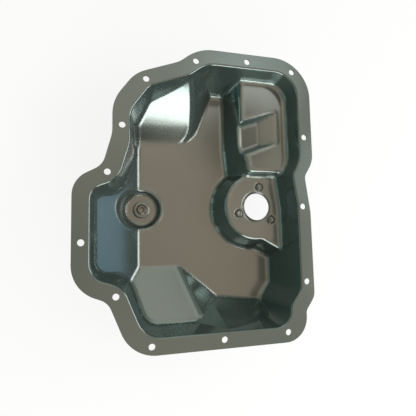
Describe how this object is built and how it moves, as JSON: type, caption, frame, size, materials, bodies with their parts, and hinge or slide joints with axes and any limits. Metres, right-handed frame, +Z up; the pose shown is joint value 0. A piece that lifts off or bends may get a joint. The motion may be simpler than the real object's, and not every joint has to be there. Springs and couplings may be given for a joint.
{
  "type": "engine oil pan",
  "caption": "Pressed sheet steel engine oil pan with a stepped sump, a bolting flange, a sensor opening with studs and a screw-in drain plug",
  "frame": {"origin": "middle of the flange outline in X and Y, lowest face of the drain plug head in Z", "axes": "+Z up towards the engine, +Y along the longest side, away from the side lobe's drain end towards the wide shelf, +X towards the sensor opening"},
  "size_m": [0.2814, 0.343, 0.081],
  "materials": {
    "coated_sheet": "glossy black electrocoat",
    "stud": "electrocoated steel",
    "coated_nut": "electrocoated steel",
    "washer": "soft aluminium",
    "plug": "zinc plated"
  },
  "bodies": {
    "pan": {"oil_pan": "coated_sheet", "drain_nut": "coated_nut", "sensor_stud_1": "stud", "sensor_stud_2": "stud", "sensor_stud_3": "stud"},
    "washer": {"drain_washer": "washer"},
    "plug": {"drain_plug": "plug"}
  },
  "joints": [
    {"name": "plug_travel", "type": "slide", "parent": "pan", "child": "washer", "axis": [0, 0, -1], "range_m": [0, 0.0075]},
    {"name": "plug_turn", "type": "hinge", "parent": "washer", "child": "plug", "pos_m": [-0.0625, -0.012, 0.007], "axis": [0, 0, -1], "range_deg": [0, 1800]}
  ],
  "couplings": [
    {"joint": "plug_travel", "follows": "plug_turn", "m_per_rad": 0.00023873}
  ]
}
